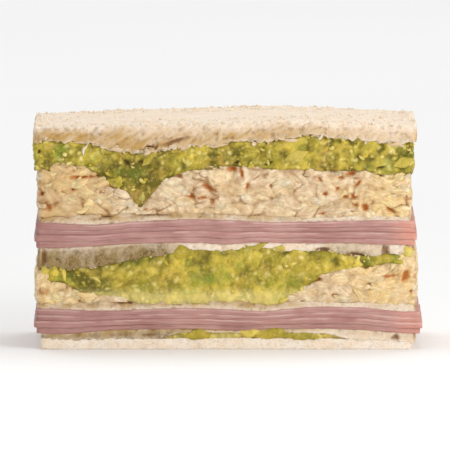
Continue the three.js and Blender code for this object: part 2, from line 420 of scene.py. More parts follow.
def finished(mesh, coords, slot, replaced=None):
    """Sets the points, shades the mesh smooth and makes it a piece of the sandwich. The slot is the
    kind of food, which also names its material."""
    mesh.vertices.foreach_set("co", coords.astype(np.float32).ravel())
    mesh.polygons.foreach_set("use_smooth", np.ones(len(mesh.polygons), bool))
    mesh.update()
    mesh.materials.append(MATERIALS[slot])
    piece = bpy.data.objects.new(mesh.name, mesh)
    bpy.context.scene.collection.objects.link(piece)
    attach(piece, "root")
    if replaced:
        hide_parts(replaced)


# %% [markdown]
# Now the steps can be put together. Neighbouring layers overlap by a hair, so that no light falls
# through between them, and a layer is never pressed thinner than a crumb.

# %% Pressing a layer
OVERLAP = 0.12 * MM
THINNEST = 0.35 * MM


def pressed_layer(
    name, node, recipe, slot, edges=(0.3, 0.3), inset=0.0, rows=None, rings=None, sink=0.0, spread=0.0
):
    """A finished layer. In millimetres, `edges` are how far the lower and the upper edge are
    rounded, `inset` is how far the cut lies inside the solid's, `sink` how far the layer sinks into
    what is under it and `spread` how far it creeps on at its two ends."""
    layer = layers[node]
    half = layer.half - inset * MM + np.array([spread, 0]) * MM
    thickness = (layer.sides["high"] - layer.sides["low"]).mean()
    rows = rows or max(5, round(thickness / CELL))
    mesh = wrapped_sheet(name, round(4 * half.sum() / CELL), profile(rows, rings))
    wheel = coordinates(mesh)
    share = (np.arctan2(wheel[:, 1], wheel[:, 0]) / (2 * math.pi)) % 1
    out, up = np.hypot(wheel[:, 0], wheel[:, 1]), wheel[:, 2]
    rim, way, run = outline(half, share)
    flat = layer.middle + rim * out[:, None]
    low, high = layer.heights(*flat.T)
    low = np.where(low < MM, 0, low + stray(*flat.T, low) - OVERLAP - sink * MM)
    lifted = stray(*flat.T, high) + OVERLAP if rings is None else 0
    high = np.maximum(high + lifted, low + THINNEST)
    coords = joined(flat, low + up * (high - low))
    marks, push, lift = recipe(Cut(coords, up, out, way))
    push = push - MM * np.where(up < 0.5, *edges) * np.abs(2 * up - 1) ** 4
    coords[:, :2] += way * (push * ramp(out, 0.9, 1.0))[:, None]
    coords[:, 2] += lift
    keep(mesh, along=joined(share * run, coords[:, 2], out * 30 * MM), **marks)
    finished(mesh, coords, slot, node)
    print(f"{name}: {len(mesh.polygons)} faces, {rows} rows up the cut")


# %% [markdown]
# A material is a small graph of nodes. The same few moves come back in each: read an attribute,
# make noise, mix two colours, turn a height into a bump. Short helpers keep those moves readable.

# %% Node helpers
def add(tree, kind, **settings):
    node = tree.nodes.new(kind)
    for key, value in settings.items():
        setattr(node, key, value)
    return node


def feed(tree, socket, value):
    """Links a socket to another one, or sets it to a plain value."""
    if isinstance(value, bpy.types.NodeSocket):
        tree.links.new(value, socket)
    elif isinstance(value, (tuple, list)) and len(value) == 3 and socket.type == "RGBA":
        socket.default_value = (*value, 1)
    else:
        socket.default_value = value


def mark(tree, name, vector=False):
    return add(tree, "ShaderNodeAttribute", attribute_name=name).outputs["Vector" if vector else "Fac"]


def worked_out(tree, operation, first, second):
    node = add(tree, "ShaderNodeMath", operation=operation)
    feed(tree, node.inputs[0], first)
    feed(tree, node.inputs[1], second)
    return node.outputs[0]


def scaled(tree, value, factor):
    return worked_out(tree, "MULTIPLY", value, factor)


def ranged(tree, value, low, high, to_low=0.0, to_high=1.0):
    node = add(tree, "ShaderNodeMapRange", interpolation_type="SMOOTHSTEP")
    for socket, given in zip(node.inputs, (value, low, high, to_low, to_high)):
        feed(tree, socket, given)
    return node.outputs[0]


def mixed(tree, share, first, second):
    node = add(tree, "ShaderNodeMix", data_type="RGBA")
    feed(tree, node.inputs["Factor"], share)
    feed(tree, node.inputs[6], first)
    feed(tree, node.inputs[7], second)
    return node.outputs[2]


# %% [markdown]
# Most of the colours below are tints laid one over another, as in painting. So the colour of a
# food is written as a list of coats. The tints are given as they look in a picture, and have to
# be turned into amounts of light.

# %% Coats of colour
def coated(tree, shader, colour, *coats):
    """Lays coats of colour over the first one, and gives the result to the shader. A coat has its
    share, which is a mask or the name of a mark on the mesh, and its tint."""
    for share, tint in coats:
        colour = mixed(tree, mark(tree, share) if isinstance(share, str) else share, colour, tint)
    feed(tree, shader.inputs["Base Color"], colour)


def srgb(*colour):
    """A colour as it is seen in a picture, 0 to 255, turned into light."""
    return tuple(((c / 255 + 0.055) / 1.055) ** 2.4 if c > 10 else c / 255 / 12.92 for c in colour)


# %% [markdown]
# What several foods share, mottling and fine grain, is a node group that is built once and used
# with other sizes in each material.

# %% The shared groups
def new_group(name, *outputs):
    """A group with a place and a size going in and values coming out."""
    group = bpy.data.node_groups.new(name, "ShaderNodeTree")
    group.interface.new_socket(name="Place", in_out="INPUT", socket_type="NodeSocketVector")
    group.interface.new_socket(name="Size", in_out="INPUT", socket_type="NodeSocketFloat")
    for output in outputs:
        group.interface.new_socket(name=output, in_out="OUTPUT", socket_type="NodeSocketFloat")
    return group, add(group, "NodeGroupInput").outputs, add(group, "NodeGroupOutput").inputs


def texture_of(group, kind, given):
    texture = add(group, kind)
    feed(group, texture.inputs["Vector"], given["Place"])
    feed(group, texture.inputs["Scale"], worked_out(group, "DIVIDE", 1.0, given["Size"]))
    return texture


def build_mottle():
    """Soft patches: 0 to 1, with features about Size across."""
    group, given, out = new_group("Mottle", "Mask")
    texture = texture_of(group, "ShaderNodeTexNoise", given)
    feed(group, texture.inputs["Detail"], 3.0)
    feed(group, out["Mask"], ranged(group, texture.outputs["Fac"], 0.3, 0.7))
    return group


def build_grain():
    """Fine pits and grit: the height, and how far a point lies in a pit, both 0 to 1."""
    group, given, out = new_group("Grain", "Height", "Pit")
    pits = texture_of(group, "ShaderNodeTexVoronoi", given)
    grit = texture_of(group, "ShaderNodeTexNoise", given)
    feed(group, grit.inputs["Detail"], 4.0)
    pit = ranged(group, pits.outputs["Distance"], 0.45, 0.1)
    height = worked_out(group, "SUBTRACT", grit.outputs["Fac"], scaled(group, pit, 0.6))
    feed(group, out["Height"], height)
    feed(group, out["Pit"], pit)
    return group


MOTTLE = build_mottle()
GRAIN = build_grain()


def placed_group(tree, group, place, size):
    node = add(tree, "ShaderNodeGroup", node_tree=group)
    feed(tree, node.inputs["Place"], place)
    feed(tree, node.inputs["Size"], size)
    return node.outputs


def mottled(tree, place, size):
    return placed_group(tree, MOTTLE, place, size)["Mask"]


# %% [markdown]
# Each material starts from Blender's usual shader with a few settings of its own, and most get a
# bump from a height.

# %% A new material
def surface(slot, name, **settings):
    """Makes the material of a slot, and gives its tree, its shader and the place of each point."""
    material = bpy.data.materials.new(name)
    MATERIALS[slot] = material
    material.use_nodes = True
    tree = material.node_tree
    shader = tree.nodes["Principled BSDF"]
    for socket, value in settings.items():
        feed(tree, shader.inputs[socket.replace("_", " ")], value)
    print(f"material for {slot}: {name}")
    return tree, shader, add(tree, "ShaderNodeTexCoord").outputs["Object"]


def bumped(tree, shader, height, distance, strength):
    bump = add(tree, "ShaderNodeBump")
    feed(tree, bump.inputs["Height"], height)
    feed(tree, bump.inputs["Distance"], distance)
    feed(tree, bump.inputs["Strength"], strength)
    feed(tree, shader.inputs["Normal"], bump.outputs["Normal"])


# %% [markdown]
# White sandwich bread is a foam of starch: pale and matt, with light passing a little way through it. Where
# the knife tore it, it looks tan and fibrous, and where a moist filling touches it, it turns darker. Its
# pores, pits and pockets are painted dark as shade, and on the top slice and the third the tan and the dark
# tints hold painted shade as well. The mesh carries the large pores. The finest grain is bump.

# %% Bread
BREAD_PALE = srgb(252, 240, 226)
BREAD_WARM = srgb(244, 222, 196)
BREAD_TAN_AND_SHADE = srgb(198, 160, 98)
BREAD_PORE_SHADE = srgb(122, 84, 40)
BREAD_SOAKED = srgb(154, 130, 80)
SOAKED_PORE_SHADE = srgb(94, 72, 28)
POCKET_SHADE_BROWN = srgb(138, 92, 40)


def bread_material():
    tree, shader, place = surface(
        "bread",
        "Soft white bread",
        Roughness=0.85,
        Subsurface_Weight=0.3,
        Subsurface_Radius=(1.0, 0.7, 0.45),
        Subsurface_Scale=1.0 * MM,
        Specular_IOR_Level=0.3,
    )
    patches = mottled(tree, place, 4 * MM)
    specks = mottled(tree, place, 0.8 * MM)
    blotches = mottled(tree, place, 0.65 * MM)
    grain = placed_group(tree, GRAIN, place, 0.6 * MM)
    dark_pores = scaled(tree, ranged(tree, blotches, 0.6, 0.1), ranged(tree, patches, 0.1, 0.8, 1.0, 0.45))
    coated(
        tree,
        shader,
        BREAD_PALE,
        (scaled(tree, patches, 0.7), BREAD_WARM),
        (scaled(tree, specks, 0.35), BREAD_WARM),
        # Painted shade: part of the torn and soaked tints, and all of the pore, pocket and pit tints.
        ("torn", BREAD_TAN_AND_SHADE),
        ("soaked_and_shade", mixed(tree, dark_pores, BREAD_SOAKED, SOAKED_PORE_SHADE)),
        ("hollow", BREAD_PORE_SHADE),
        ("cavity_shade", POCKET_SHADE_BROWN),
        # Painted shade in the fine pits of the grain.
        (scaled(tree, grain["Pit"], 0.2), BREAD_TAN_AND_SHADE),
    )
    bumped(tree, shader, grain["Height"], 0.3 * MM, 0.7)


bread_material()

# %% [markdown]
# The knife drags the torn crumb along, so its relief is noise that is drawn out along a slant, with
# open pores in it. At its edges the crumb hangs over the next layer in tufts.

# %% The relief of bread
TEAR_SLANT = math.radians(32)


def torn_fibres(at, size, seed):
    """Noise that is drawn out along the slant in which the crumb was torn."""
    along = at.face * math.cos(TEAR_SLANT) + at.z * math.sin(TEAR_SLANT)
    across = at.z * math.cos(TEAR_SLANT) - at.face * math.sin(TEAR_SLANT)
    return rough(joined(along / 3.5, across, at.y / 3), size, seed, 2)


def crumb(at, seed):
    """The relief of torn crumb from -1 to 1, and its open pores from 0 to 1."""
    near, _, own, _ = cells(at.warped(0.7 * MM, 1.6 * MM, seed), 1.5 * MM, seed)
    pores = ramp(near, 0.6, 0.2) * ramp(own[:, 0], -0.2, 0.6)
    return 0.45 * rough(at.coords, 1.5 * MM, seed + 5) + 0.85 * torn_fibres(at, 0.9 * MM, seed + 3), pores


def fringe(at, seed):
    """How far the torn edge of the crumb hangs, from 0 to about 1.5, tuft by tuft."""
    from_above = joined(at.x, at.y, 0 * at.z)
    tufts = rough(from_above, 2.2 * MM, seed, 3)
    patches = noise(from_above, 7 * MM, seed + 2)
    return np.clip(0.3 + 1.2 * tufts + 0.6 * patches, 0, 1.6) * ramp(at.out, 0.97, 1.0)


def bread_recipe(seed, tear=1.0, torn=None, soaked_and_shade=None, cavities=(), top=False, hang=(0.25, 0.25)):
    """`torn` and `soaked_and_shade` say where the crumb is tan or dark, from 0 to 1, and both hold painted
    shade in places. `hang` is how far, in millimetres, the torn edges reach over the layers below and above."""

    def recipe(at):
        relief, pores = crumb(at, seed)
        # The pockets and cracks are pressed in, and painted dark inside as shade.
        cavity_shade = ovals(at.face, at.z, cavities)
        push = MM * (0.32 * tear * relief - 0.4 * tear * pores - 1.3 * cavity_shade)
        tan = torn(at) if torn else 0 * at.z
        dark = soaked_and_shade(at) if soaked_and_shade else 0 * at.z
        below = hang[0] * ramp(at.up, 0.35, 0.0)
        above = hang[1] * ramp(at.up, 0.65, 1.0)
        lift = MM * (above * fringe(at, seed + 9) - below * fringe(at, seed + 7))
        # Painted shade, darker in the open pores and where the relief dips, and more so where the crumb is
        # tan or soaked.
        hollow = 0.55 * pores + 0.55 * ramp(relief, 0.0, -0.8)
        if top:
            on_top = at.up > 0.999
            rim = ramp(at.out, 0.86, 0.95)
            grit = rough(at.coords, 1.8 * MM, seed + 8) + noise(at.coords, 0.9 * MM, seed)
            swell = 0.25 * rough(at.coords, 4 * MM, seed + 8, 2)
            lift += on_top * MM * (swell + rim * (0.18 * grit - 0.2 * pores))
            hollow = np.where(on_top, 0.12 * rim * hollow, hollow)
        moist = np.maximum(tan, dark)
        hollow = np.clip(hollow * (0.2 + 0.7 * moist), 0, 1)
        return {"hollow": hollow, "torn": tan, "soaked_and_shade": dark, "cavity_shade": 0.8 * cavity_shade}, push, lift

    return recipe


# %% [markdown]
# The top slice is the one that shows from above, so its sheet gets many more rings on the upper side. Its cut
# is torn and tan towards the filling, in slanted streaks, and pale where it turns over to the top. The tan is
# partly painted shade: it is deeper low on the cut, where the crumb turns under, and towards the left, away
# from the key light. At the left the filling has sunk away under it and left narrow pockets, painted dark
# inside as shade.

# %% The top slice
TOP_RINGS = [0, *np.linspace(0.04, 0.9, 48), *np.linspace(0.907, 0.997, 18)]
TOP_POCKETS = [(-15.0, 60.5, 4.4, 0.6, 16), (-22.5, 58.9, 3.0, 0.5, 8), (-44, 59.2, 2.0, 0.4, 20)]


def top_slice_tan_and_shade(at):
    # Tan of torn crumb with painted shade: more of it low on the cut and towards the left end.
    border = 0.55 + 0.35 * rough(at.coords, 7 * MM, 71) + 0.15 * ramp(at.face, 0, -40 * MM)
    amount = 0.6 + 0.2 * ramp(at.face, 5 * MM, -45 * MM) - 0.25 * ramp(at.face, 12 * MM, 40 * MM)
    amount = amount * (1 - 0.5 * ramp(at.up, 0.16, 0.0)) * (0.95 + 0.7 * torn_fibres(at, 1.5 * MM, 72))
    return 0.18 + amount * ramp(at.out, 0.985, 1.0) * ramp(at.up, border + 0.4, border - 0.3)


pressed_layer(
    "top_slice",
    "bread_top",
    bread_recipe(11, torn=top_slice_tan_and_shade, cavities=TOP_POCKETS, top=True, hang=(1.3, 0)),
    "bread",
    edges=(0.1, 0.7),
    inset=0.3,
    rows=20,
    rings=TOP_RINGS,
)

# %% [markdown]
# The other slices are pressed so thin that only a pale, grainy line is left of them, except the third, which
# is thick at the left and dark there, partly soaked by the avocado under it and partly painted shade. The
# lowest one creeps out at its two ends under the weight.

# %% The pressed slices
THIRD_POCKETS = [
    (-53.3, 26.6, 1.3, 2.2, 0),
    (27.9, 28.8, 2.6, 0.8, -5),
    (37.9, 27.3, 4.0, 0.9, -6),
    (45.7, 28.9, 1.1, 1.5, -10),
]
BOTTOM_POCKETS = [(48.8, 3.4, 1.3, 0.9, 0), (-22, 4.0, 3.0, 0.3, 0)]
SECOND_CRACKS = [(-35.5, 38.4, 2.6, 0.4, 12), (-22.5, 39.3, 6.0, 0.35, 0), (8, 39.2, 6.5, 0.35, 0)]
FOURTH_CRACKS = [(-30.5, 13.4, 3.8, 0.4, 4), (-8.0, 13.7, 2.6, 0.35, 0), (10.5, 13.6, 5.0, 0.4, 0)]


def third_slice_soaked_and_shade(at):
    # Soaked crumb and painted shade: dark at the left, less so round a pocket at the right, and darker low on
    # the cut.
    left = ramp(at.x, -10 * MM, -22 * MM)
    pocket = hump(at.x, 36 * MM, 10 * MM)
    patch = 0.5 + 0.6 * rough(joined(at.x, at.y, at.z / 2.2), 2.2 * MM, 81)
    deeper = 0.7 + 0.3 * ramp(at.up, 0.75, 0.25)
    return np.clip((left + 0.4 * pocket) * ramp(at.up, 1.0, 0.75) * (0.5 + patch) * deeper, 0, 0.95)


def third_slice_torn(at):
    return 0.1 + 0.35 * ramp(rough(at.coords, 4 * MM, 93), -0.3, 0.6)


def paler_right(at):
    """The thin slices hardly differ from the chicken on them towards the right."""
    return 1 - 0.6 * ramp(at.face, 12 * MM, 30 * MM)


def thin_slice_soaked(at):
    patches = 0.1 + 0.35 * ramp(rough(at.coords, 4 * MM, 91), -0.2, 0.6)
    return patches * ramp(at.up, 0.1, 0.6) * paler_right(at)


def thin_slice_torn(at):
    patches = 0.4 + 0.5 * ramp(rough(at.coords, 4 * MM, 92), -0.5, 0.5)
    return patches * (0.35 + 0.65 * ramp(at.up, 0.1, 0.6)) * paler_right(at)


def fifth_slice_soaked(at):
    left = ramp(at.x, -5 * MM, -15 * MM) * ramp(at.up, 0.95, 0.35)
    return np.clip(thin_slice_soaked(at) + left * (0.5 + 0.3 * rough(at.coords, 2.5 * MM, 83)), 0, 0.8)


# %% [markdown]
# The second and the fourth slice lie between chicken and ham and share a recipe. The third and the
# fifth have avocado under them, which soaks them from below.

# %% Laying the pressed slices
def thin_slice(seed, cracks):
    """The recipe of the two slices that lie between chicken and ham."""
    return bread_recipe(seed, 0.8, thin_slice_torn, thin_slice_soaked, cracks, hang=(0.5, 0.25))


BOTTOM_SPREAD = 1.2
PRESSED_SLICES = {
    "second": thin_slice(21, SECOND_CRACKS),
    "third": bread_recipe(31, 1.1, third_slice_torn, third_slice_soaked_and_shade, THIRD_POCKETS),
    "fourth": thin_slice(41, FOURTH_CRACKS),
    "fifth": bread_recipe(51, 0.8, thin_slice_torn, fifth_slice_soaked, BOTTOM_POCKETS),
    "bottom": bread_recipe(61, 0.6, hang=(0, 0.3)),
}

for which, recipe in PRESSED_SLICES.items():
    spread = BOTTOM_SPREAD if which == "bottom" else 0
    pressed_layer(f"{which}_slice", f"bread_{which}", recipe, "bread", (0.1, 0.1), 0.2, spread=spread)

# %% [markdown]
# Boiled ham is smooth and moist. Each slice is a separate sheet, and the slices cling together, so only a
# soft groove parts one from the next, with painted shade in it. Along the cut run fine streaks, paler and
# darker, and the pale streaks near the top of each slice are partly painted glints. The left end is painted
# darker as shade, and the ends that dried a little are more salmon than pink.

# %% Ham
HAM_ROSE = srgb(184, 136, 128)
HAM_DUSK = srgb(162, 112, 105)
HAM_PALE = srgb(230, 198, 188)
HAM_SHADE = srgb(140, 90, 84)
HAM_SALMON = srgb(232, 160, 136)


def ham_material():
    tree, shader, place = surface(
        "ham",
        "Moist sliced ham",
        Roughness=0.42,
        Subsurface_Weight=0.25,
        Subsurface_Radius=(1.0, 0.45, 0.35),
        Subsurface_Scale=0.8 * MM,
        Specular_IOR_Level=0.4,
    )
    stretched = add(tree, "ShaderNodeMapping", vector_type="POINT")
    feed(tree, stretched.inputs["Vector"], mark(tree, "along", vector=True))
    feed(tree, stretched.inputs["Scale"], (0.07, 1.0, 0.2))
    streaks = mottled(tree, stretched.outputs[0], 0.6 * MM)
    coated(
        tree,
        shader,
        HAM_ROSE,
        (scaled(tree, mottled(tree, place, 8 * MM), 0.9), HAM_DUSK),
        (scaled(tree, streaks, 0.22), HAM_PALE),
        ("salmon", HAM_SALMON),
        # Pale streaks that are partly painted glints, then painted shade in the grooves and at the left end.
        ("pale_streak_and_glint", HAM_PALE),
        ("hollow", HAM_SHADE),
    )
    bumped(tree, shader, streaks, 0.08 * MM, 0.4)


ham_material()


# %% [markdown]
# The slices hardly differ in shape. What shows is the groove where two of them part, now open and
# now closed, and a pale streak here and there.

# %% The stacks of ham
def ham_recipe(seed):
    """Slow waves, a groove where two slices part with painted shade in it, painted shade towards the left
    end, and a pale streak here and there that is partly a painted glint.
    """

    def recipe(at):
        wave = 0.8 * rough(at.coords, 9 * MM, 90) + 0.3 * rough(at.coords, 9 * MM, seed)
        grip = np.clip(0.5 + 0.8 * rough(at.coords, 12 * MM, seed + 2), 0, 1)
        bead = noise(at.coords, 1.8 * MM, seed + 4)
        # Painted shade in the groove where two slices part.
        line = np.abs(2 * at.up - 1) ** 6
        # A pale streak near the top of a slice, partly the ham's own and partly a painted glint.
        paler = ramp(rough(at.coords, 10 * MM, seed + 3), -0.2, 0.3) * hump(at.up, 0.8, 0.12)
        # Painted shade towards the left end, away from the key light.
        left_shade = 0.22 * ramp(at.x, -20 * MM, -50 * MM)
        push = MM * (0.2 * wave + 0.05 * bead - 0.1 * line * grip)
        marks = {
            "hollow": np.clip(0.22 * line * grip + left_shade, 0, 1),
            "pale_streak_and_glint": 0.6 * paler,
            "salmon": (0.36 + 0.2 * ramp(at.z, 15 * MM, 30 * MM)) * ramp(at.x, 45 * MM, 53 * MM),
        }
        return marks, push, 0.0

    return recipe


for stack in ("lower", "upper"):
    for n in range(1, 5):
        recipe = ham_recipe(100 + 7 * n)
        pressed_layer(f"{stack}_ham_{n}", f"ham_{stack}_slice_{n}", recipe, "ham", (0.03, 0.03), 0.25, rows=7)

# %% [markdown]
# Mashed avocado is a thick paste that folds over itself, with firmer bits in it. The absolute
# value of smooth noise gives folds: round on top with a crease where the noise changes sign. It is
# yellow where the flesh was next to the stone and green where it was next to the skin.

# %% Avocado
MASH_YELLOW = srgb(226, 200, 78)
MASH_GREEN = srgb(154, 142, 34)
MASH_DARK_TONE_AND_SHADE = srgb(106, 94, 0)
MASH_PALE = srgb(242, 226, 150)
MASH_FRESH = srgb(116, 148, 40)
MASH_TAN = srgb(214, 164, 84)
MASH_SHADE = srgb(84, 64, 10)


def mash_material():
    tree, shader, place = surface(
        "avocado",
        "Mashed avocado",
        Subsurface_Weight=0.25,
        Subsurface_Radius=(0.8, 0.8, 0.2),
        Subsurface_Scale=1.0 * MM,
        Specular_IOR_Level=0.3,
    )
    patches = mottled(tree, place, 5 * MM)
    specks = mottled(tree, place, 0.9 * MM)
    flecks = placed_group(tree, GRAIN, place, 1.3 * MM)["Pit"]
    coated(
        tree,
        shader,
        MASH_GREEN,
        (patches, MASH_YELLOW),
        (scaled(tree, specks, 0.35), MASH_YELLOW),
        ("warm", MASH_TAN),
        # Painted shade in creases, pits and next to other layers, mixed with the mash's own darker tone.
        ("hollow", MASH_DARK_TONE_AND_SHADE),
        (scaled(tree, flecks, 0.2), MASH_PALE),
        ("pale", MASH_PALE),
        ("fresh", MASH_FRESH),
        ("cavity_shade", MASH_SHADE),
    )
    feed(tree, shader.inputs["Roughness"], ranged(tree, patches, 0.0, 1.0, 0.36, 0.52))
    bumped(tree, shader, specks, 0.25 * MM, 0.6)


mash_material()

# %% [markdown]
# The relief of the mash and its tints have to agree, or it looks painted. So the same folds and firmer bits
# set both: a crease gets painted shade, and a bit stands out and is paler.

# %% The folds of the mash
FOLD_SOFTNESS = 0.14


def folds(points, size, seed):
    """Round folds with creases between, from 0 in the crease to about 1."""
    height = np.sqrt(rough(points, size, seed, 2) ** 2 + FOLD_SOFTNESS**2) - FOLD_SOFTNESS
    return np.minimum(2.6 * height, 1.2)


def mash_recipe(seed, fresh=(), pits=(), yellow_below=None, contact_shade=0.5, tone_and_shade=None, greener=0.25, warmer=0.5):
    """`fresh` and `pits` are ovals: green, and pressed in with painted shade inside. The mash is paler below
    `yellow_below` millimetres, and gets painted shade by `contact_shade` next to other layers.
    `tone_and_shade` says how much darker and warmer each point is, and the darker part holds painted shade in
    places. `greener` and `warmer` say how far the hue drifts."""

    def recipe(at):
        warped = at.warped(1.0 * MM, 3 * MM, seed)
        swell = rough(at.coords, 8 * MM, seed + 2)
        large = folds(warped, 4.2 * MM, seed + 3)
        small = folds(warped, 1.5 * MM, seed + 4)
        near, _, own, _ = cells(warped, 1.6 * MM, seed)
        bit = ramp(own[:, 0], 0.3, 0.5) * ramp(near, 0.55, 0.2)
        pit = ovals(at.face, at.z, pits)
        tiny = noise(at.coords, 0.9 * MM, seed + 5)
        push = 0.6 * swell + 0.6 * (large - 0.5) + 0.3 * (small - 0.4) + 0.14 * tiny + 0.2 * bit - pit
        blotch = rough(warped, 3.2 * MM, seed + 7, 2)
        hue = rough(warped, 5 * MM, seed + 10, 3)
        # Painted shade in the creases of the folds and where the swell dips; the blotches are the mash's own
        # darker tone.
        crease = 0.35 * ramp(large, 0.4, 0.0) + 0.4 * ramp(swell, 0.1, -0.7) + 0.65 * ramp(blotch, 0.0, -0.6)
        # More painted shade in the small creases and next to the layers above and below.
        crease = crease + 0.15 * ramp(small, 0.35, 0.0) + contact_shade * ramp(at.up, 0.86, 1.0)
        crease = crease + 0.6 * contact_shade * ramp(at.up, 0.08, 0.0)
        pale = 0.6 * bit * ramp(own[:, 1], -0.6, 0.6) + 0.45 * ramp(blotch, 0.25, 0.8)
        warm = warmer * ramp(hue, 0.1, 0.6)
        if tone_and_shade:
            darker, warmest = tone_and_shade(at)
            crease = crease + darker
            pale = pale * (1 - 1.2 * np.clip(darker, 0, 0.7))
            warm = np.maximum(warm, warmest)
        if yellow_below:
            pale = pale + 0.45 * ramp(at.z, (yellow_below + 1.5) * MM, (yellow_below - 1.5) * MM)
        marks = {
            "hollow": np.clip(crease * (1 - 0.7 * bit), 0, 1),
            "pale": np.clip(pale, 0, 0.85),
            "fresh": np.maximum(0.6 * ovals(at.face, at.z, fresh, 0.8), greener * ramp(hue, -0.05, -0.6)),
            "warm": warm,
            "cavity_shade": pit,
        }
        return marks, MM * push, 0.0

    return recipe


# %% [markdown]
# The upper mash is darker, the lower one lighter, with a painted shadow of a dent at its left end, and the
# smear between the lowest slices is hardly more than a film.

# %% The three layers of mash
UPPER_PITS = [
    (-29.0, 54.3, 1.7, 0.5, -35),
    (-25.1, 54.6, 1.1, 0.5, 0),
    (2.7, 54.1, 1.0, 0.5, 40),
    (12.0, 54.1, 1.3, 0.4, 20),
    (35.8, 52.8, 0.8, 0.5, 40),
    (44.4, 52.8, 1.3, 0.4, 20),
    (-54.5, 57.3, 0.8, 0.6, 0),
]
LOWER_SHADE = [(-42.5, 20.8, 5.2, 1.7, -30), (-37.5, 17.6, 4.0, 0.7, -8)]


def upper_mash_tone(at):
    """The upper mash is the darker one. It is darkest in its lobe, but for the lobe's tip."""
    lobe = 0.75 * hump(at.x, -26 * MM, 9 * MM) * ramp(at.z, 58 * MM, 52 * MM)
    tip = ramp(at.z, 49 * MM, 45 * MM)
    return lobe * (1 - 0.75 * tip) + 0.14 * ramp(at.x, 5 * MM, 25 * MM), 0.7 * tip


def lower_mash_tone_and_shade(at):
    """The lower mash is lighter in the middle and darker towards the left, with a painted shadow of a dent at
    its left end.
    """
    middle = 0.3 * hump(at.x, 2 * MM, 24 * MM)
    left = 0.22 * ramp(at.x, -12 * MM, -26 * MM)
    return 1.3 * ovals(at.face, at.z, LOWER_SHADE, 0.5) + left - middle - 0.02, 0


UPPER_MASH = mash_recipe(200, tone_and_shade=upper_mash_tone, fresh=[(-48.2, 57.6, 2.2, 1.7, 20)], pits=UPPER_PITS)
LOWER_FRESH = [(-5, 20.4, 2.6, 1.5, 10)]
LOWER_MASH = mash_recipe(230, LOWER_FRESH, yellow_below=17, tone_and_shade=lower_mash_tone_and_shade, greener=0.32, warmer=0.25)
pressed_layer("upper_mash", "avocado_upper", UPPER_MASH, "avocado", (0.3, 0.5), 0.9, rows=28, sink=0.5)
pressed_layer("lower_mash", "avocado_lower", LOWER_MASH, "avocado", (0.3, 0.5), 0.9, 26, sink=0.5, spread=3)
SMEAR = mash_recipe(260, yellow_below=5, contact_shade=0.1)
pressed_layer("mash_smear", "avocado_smear", SMEAR, "avocado", (0.1, 0.1), 0.4, rows=8, spread=2.5)

# %% [markdown]
# Pulled chicken that was pressed and cut is mostly flat: bundles of fibre, each with its own slant, that meet
# in faint creases. Between some of them holes stay open, and inside those shade is painted orange and brown.
# The creases, the dips, the bottom seam and the upper left get painted shade as well.

# %% Chicken
MEAT_CREAM = srgb(254, 235, 200)
MEAT_BEIGE = srgb(206, 174, 134)
MEAT_GOLD = srgb(250, 216, 142)
MEAT_STREAK_AND_SHADE = srgb(160, 112, 58)
MEAT_HOLE_SHADE = srgb(202, 122, 48)


def chicken_material():
    tree, shader, place = surface(
        "chicken",
        "Pulled chicken",
        Roughness=0.42,
        Subsurface_Weight=0.3,
        Subsurface_Radius=(1.0, 0.6, 0.3),
        Subsurface_Scale=1.2 * MM,
        Specular_IOR_Level=0.4,
    )
    fibres = add(tree, "ShaderNodeTexNoise")
    feed(tree, fibres.inputs["Vector"], mark(tree, "fibre", vector=True))
    feed(tree, fibres.inputs["Scale"], 1.0)
    feed(tree, fibres.inputs["Detail"], 3.0)
    streak = ranged(tree, fibres.outputs["Fac"], 0.35, 0.65)
    coated(
        tree,
        shader,
        MEAT_CREAM,
        (mottled(tree, place, 2.6 * MM), MEAT_BEIGE),
        (scaled(tree, mark(tree, "gold"), 0.85), MEAT_GOLD),
        (scaled(tree, mottled(tree, place, 0.7 * MM), 0.3), MEAT_CREAM),
        (scaled(tree, streak, 0.34), MEAT_STREAK_AND_SHADE),
        # Painted shade in the creases and dips, and painted orange and brown shade in the holes.
        ("hollow", MEAT_STREAK_AND_SHADE),
        ("cavity_shade", MEAT_HOLE_SHADE),
    )
    bumped(tree, shader, fibres.outputs["Fac"], 0.2 * MM, 0.7)


chicken_material()


# %% [markdown]
# A bundle is a flat cell. Inside it, fine streaks run along its own slant, and its edges are the
# creases. Towards the right the meat is broken into smaller curds.

# %% Bundles of fibre
def golden(face, z):
    """Where the meat is golden: towards the ends, and in patches."""
    ends = 0.8 * ramp(np.abs(face - 2 * MM), 22 * MM, 46 * MM) - 0.6 * hump(face, -30 * MM, 5 * MM)
    return np.clip(ends + 0.5 * rough(joined(face, z, 0 * z), 7 * MM, 33), 0, 1)


BUNDLE = np.array([7.0, 7.0, 3.4]) * MM


